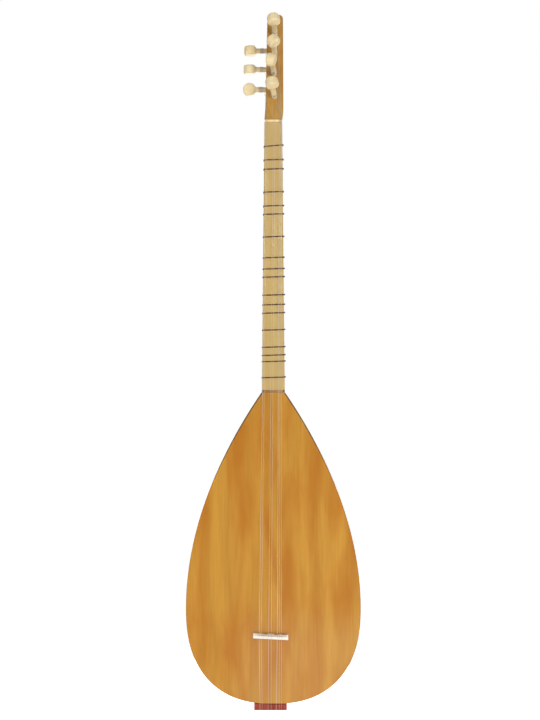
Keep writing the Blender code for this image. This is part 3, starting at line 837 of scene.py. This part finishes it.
def make_floor():
    material, shader = bare_material("paper_white", 0.9)
    shader.inputs["Base Color"].default_value = (0.92, 0.92, 0.92, 1.0)
    nodes, links = material.node_tree.nodes, material.node_tree.links
    shine = nodes.new("ShaderNodeEmission")
    shine.inputs["Strength"].default_value = floor_glow
    lit = nodes.new("ShaderNodeAddShader")
    path = nodes.new("ShaderNodeLightPath")
    seen = nodes.new("ShaderNodeMixShader")
    links.new(shader.outputs["BSDF"], lit.inputs[0])
    links.new(shine.outputs["Emission"], lit.inputs[1])
    links.new(path.outputs["Is Camera Ray"], seen.inputs["Fac"])
    links.new(shader.outputs["BSDF"], seen.inputs[1])
    links.new(lit.outputs["Shader"], seen.inputs[2])
    mirrored = nodes.new("ShaderNodeMixShader")
    white = nodes.new("ShaderNodeEmission")
    links.new(path.outputs["Is Glossy Ray"], mirrored.inputs["Fac"])
    links.new(seen.outputs["Shader"], mirrored.inputs[1])
    links.new(white.outputs["Emission"], mirrored.inputs[2])
    links.new(mirrored.outputs["Shader"], nodes["Material Output"].inputs["Surface"])
    bm = bmesh.new()
    below = Matrix.Translation((0.0, 0.0, cad_box[0][2] - hang_height))
    bmesh.ops.create_grid(bm, x_segments=1, y_segments=1, size=floor_size, matrix=below)
    mesh = bpy.data.meshes.new("floor")
    bm.to_mesh(mesh)
    bm.free()
    mesh.materials.append(material)
    floor = bpy.data.objects.new("floor", mesh)
    bpy.context.scene.collection.objects.link(floor)


def make_stage():
    scene = bpy.context.scene
    scene.view_settings.view_transform = "Standard"
    make_floor()
    world = bpy.data.worlds.new("soft_room")
    world.use_nodes = True
    room = world.node_tree.nodes["Background"]
    room.inputs["Color"].default_value = (1.0, 1.0, 1.0, 1.0)
    room.inputs["Strength"].default_value = room_light
    white_to_eyes(world.node_tree, room)
    scene.world = world
    for name, place, target, size, power in panels:
        lamp = bpy.data.lights.new(name, "AREA")
        lamp.energy = power
        lamp.size = size
        holder = bpy.data.objects.new(name, lamp)
        holder.visible_camera = False
        holder.location = place
        way = Vector(target) - Vector(place)
        holder.rotation_euler = way.to_track_quat("-Z", "Y").to_euler()
        scene.collection.objects.link(holder)
    camera = bpy.data.cameras.new("camera")
    camera.sensor_fit = "VERTICAL"
    camera.sensor_height = 36.0
    camera.lens = camera_lens
    holder = bpy.data.objects.new("camera", camera)
    holder.location = camera_place
    holder.rotation_euler = (math.radians(90.0), 0.0, 0.0)
    scene.collection.objects.link(holder)
    scene.camera = holder


class BaglamaSettings(bpy.types.PropertyGroup):
    board_gloss: bpy.props.FloatProperty(
        name="Board gloss", description="How strongly the soundboard's lacquer shines",
        default=0.05, min=0.0, max=1.0, subtype="FACTOR")


class BAGLAMA_OT_stage(bpy.types.Operator):
    """Set up the camera, the lamps, the room's light and the floor"""
    bl_idname = "baglama.stage"
    bl_label = "Stage"

    def execute(self, context):
        make_stage()
        return {"FINISHED"}


class BAGLAMA_OT_finishes(bpy.types.Operator):
    """Make the woods, the steel and the fret line, and dress the kept solids"""
    bl_idname = "baglama.finishes"
    bl_label = "Finishes"

    def execute(self, context):
        make_finishes()
        gloss = context.scene.baglama_settings.board_gloss
        finish["board"].node_tree.nodes["Principled BSDF"].inputs["Coat Weight"].default_value = gloss
        dress_kept_nodes()
        return {"FINISHED"}


class BAGLAMA_OT_body(bpy.types.Operator):
    """Make the staved bowl and the soundboard"""
    bl_idname = "baglama.body"
    bl_label = "Body"

    def execute(self, context):
        make_staves()
        make_board()
        return {"FINISHED"}


class BAGLAMA_OT_neck(bpy.types.Operator):
    """Make the neck and the peghead"""
    bl_idname = "baglama.neck"
    bl_label = "Neck and peghead"

    def execute(self, context):
        make_neck()
        make_head()
        return {"FINISHED"}


class BAGLAMA_OT_pegs(bpy.types.Operator):
    """Turn the tuning pegs"""
    bl_idname = "baglama.pegs"
    bl_label = "Pegs"

    def execute(self, context):
        for k, turn in enumerate(front_peg_turns):
            make_peg("front_peg_%d" % (k + 1), front_shaft_length, head_thick, turn)
        for k, turn in enumerate(side_peg_turns):
            width = head_right - head_left(side_peg_heights[k])
            make_peg("side_peg_%d" % (k + 1), side_shaft_length, width, turn)
        return {"FINISHED"}


class BAGLAMA_OT_strings(bpy.types.Operator):
    """Make the bridge and the strings with their windings"""
    bl_idname = "baglama.strings"
    bl_label = "Bridge and strings"

    def execute(self, context):
        make_bridge()
        for k in range(len(string_radii)):
            make_string(k)
        return {"FINISHED"}


class BAGLAMA_OT_frets(bpy.types.Operator):
    """Tie the frets"""
    bl_idname = "baglama.frets"
    bl_label = "Tied frets"

    def execute(self, context):
        for k in range(len(fret_cents)):
            make_fret(k)
        return {"FINISHED"}


operators = (BAGLAMA_OT_stage, BAGLAMA_OT_finishes, BAGLAMA_OT_body, BAGLAMA_OT_neck, BAGLAMA_OT_pegs,
             BAGLAMA_OT_strings, BAGLAMA_OT_frets)


class BAGLAMA_PT_panel(bpy.types.Panel):
    """The baglama's steps, in order"""
    bl_idname = "BAGLAMA_PT_panel"
    bl_label = "Baglama"
    bl_space_type = "VIEW_3D"
    bl_region_type = "UI"
    bl_category = "Baglama"

    def draw(self, context):
        self.layout.prop(context.scene.baglama_settings, "board_gloss")
        for operator in operators:
            self.layout.operator(operator.bl_idname)


def register():
    for item in (BaglamaSettings, *operators, BAGLAMA_PT_panel):
        bpy.utils.register_class(item)
    bpy.types.Scene.baglama_settings = bpy.props.PointerProperty(type=BaglamaSettings)


def unregister():
    del bpy.types.Scene.baglama_settings
    for item in (BAGLAMA_PT_panel, *reversed(operators), BaglamaSettings):
        bpy.utils.unregister_class(item)


def main():
    register()
    bpy.ops.baglama.stage()
    bpy.ops.baglama.finishes()
    bpy.ops.baglama.body()
    bpy.ops.baglama.neck()
    bpy.ops.baglama.pegs()
    bpy.ops.baglama.strings()
    bpy.ops.baglama.frets()


if __name__ == "__main__":
    main()
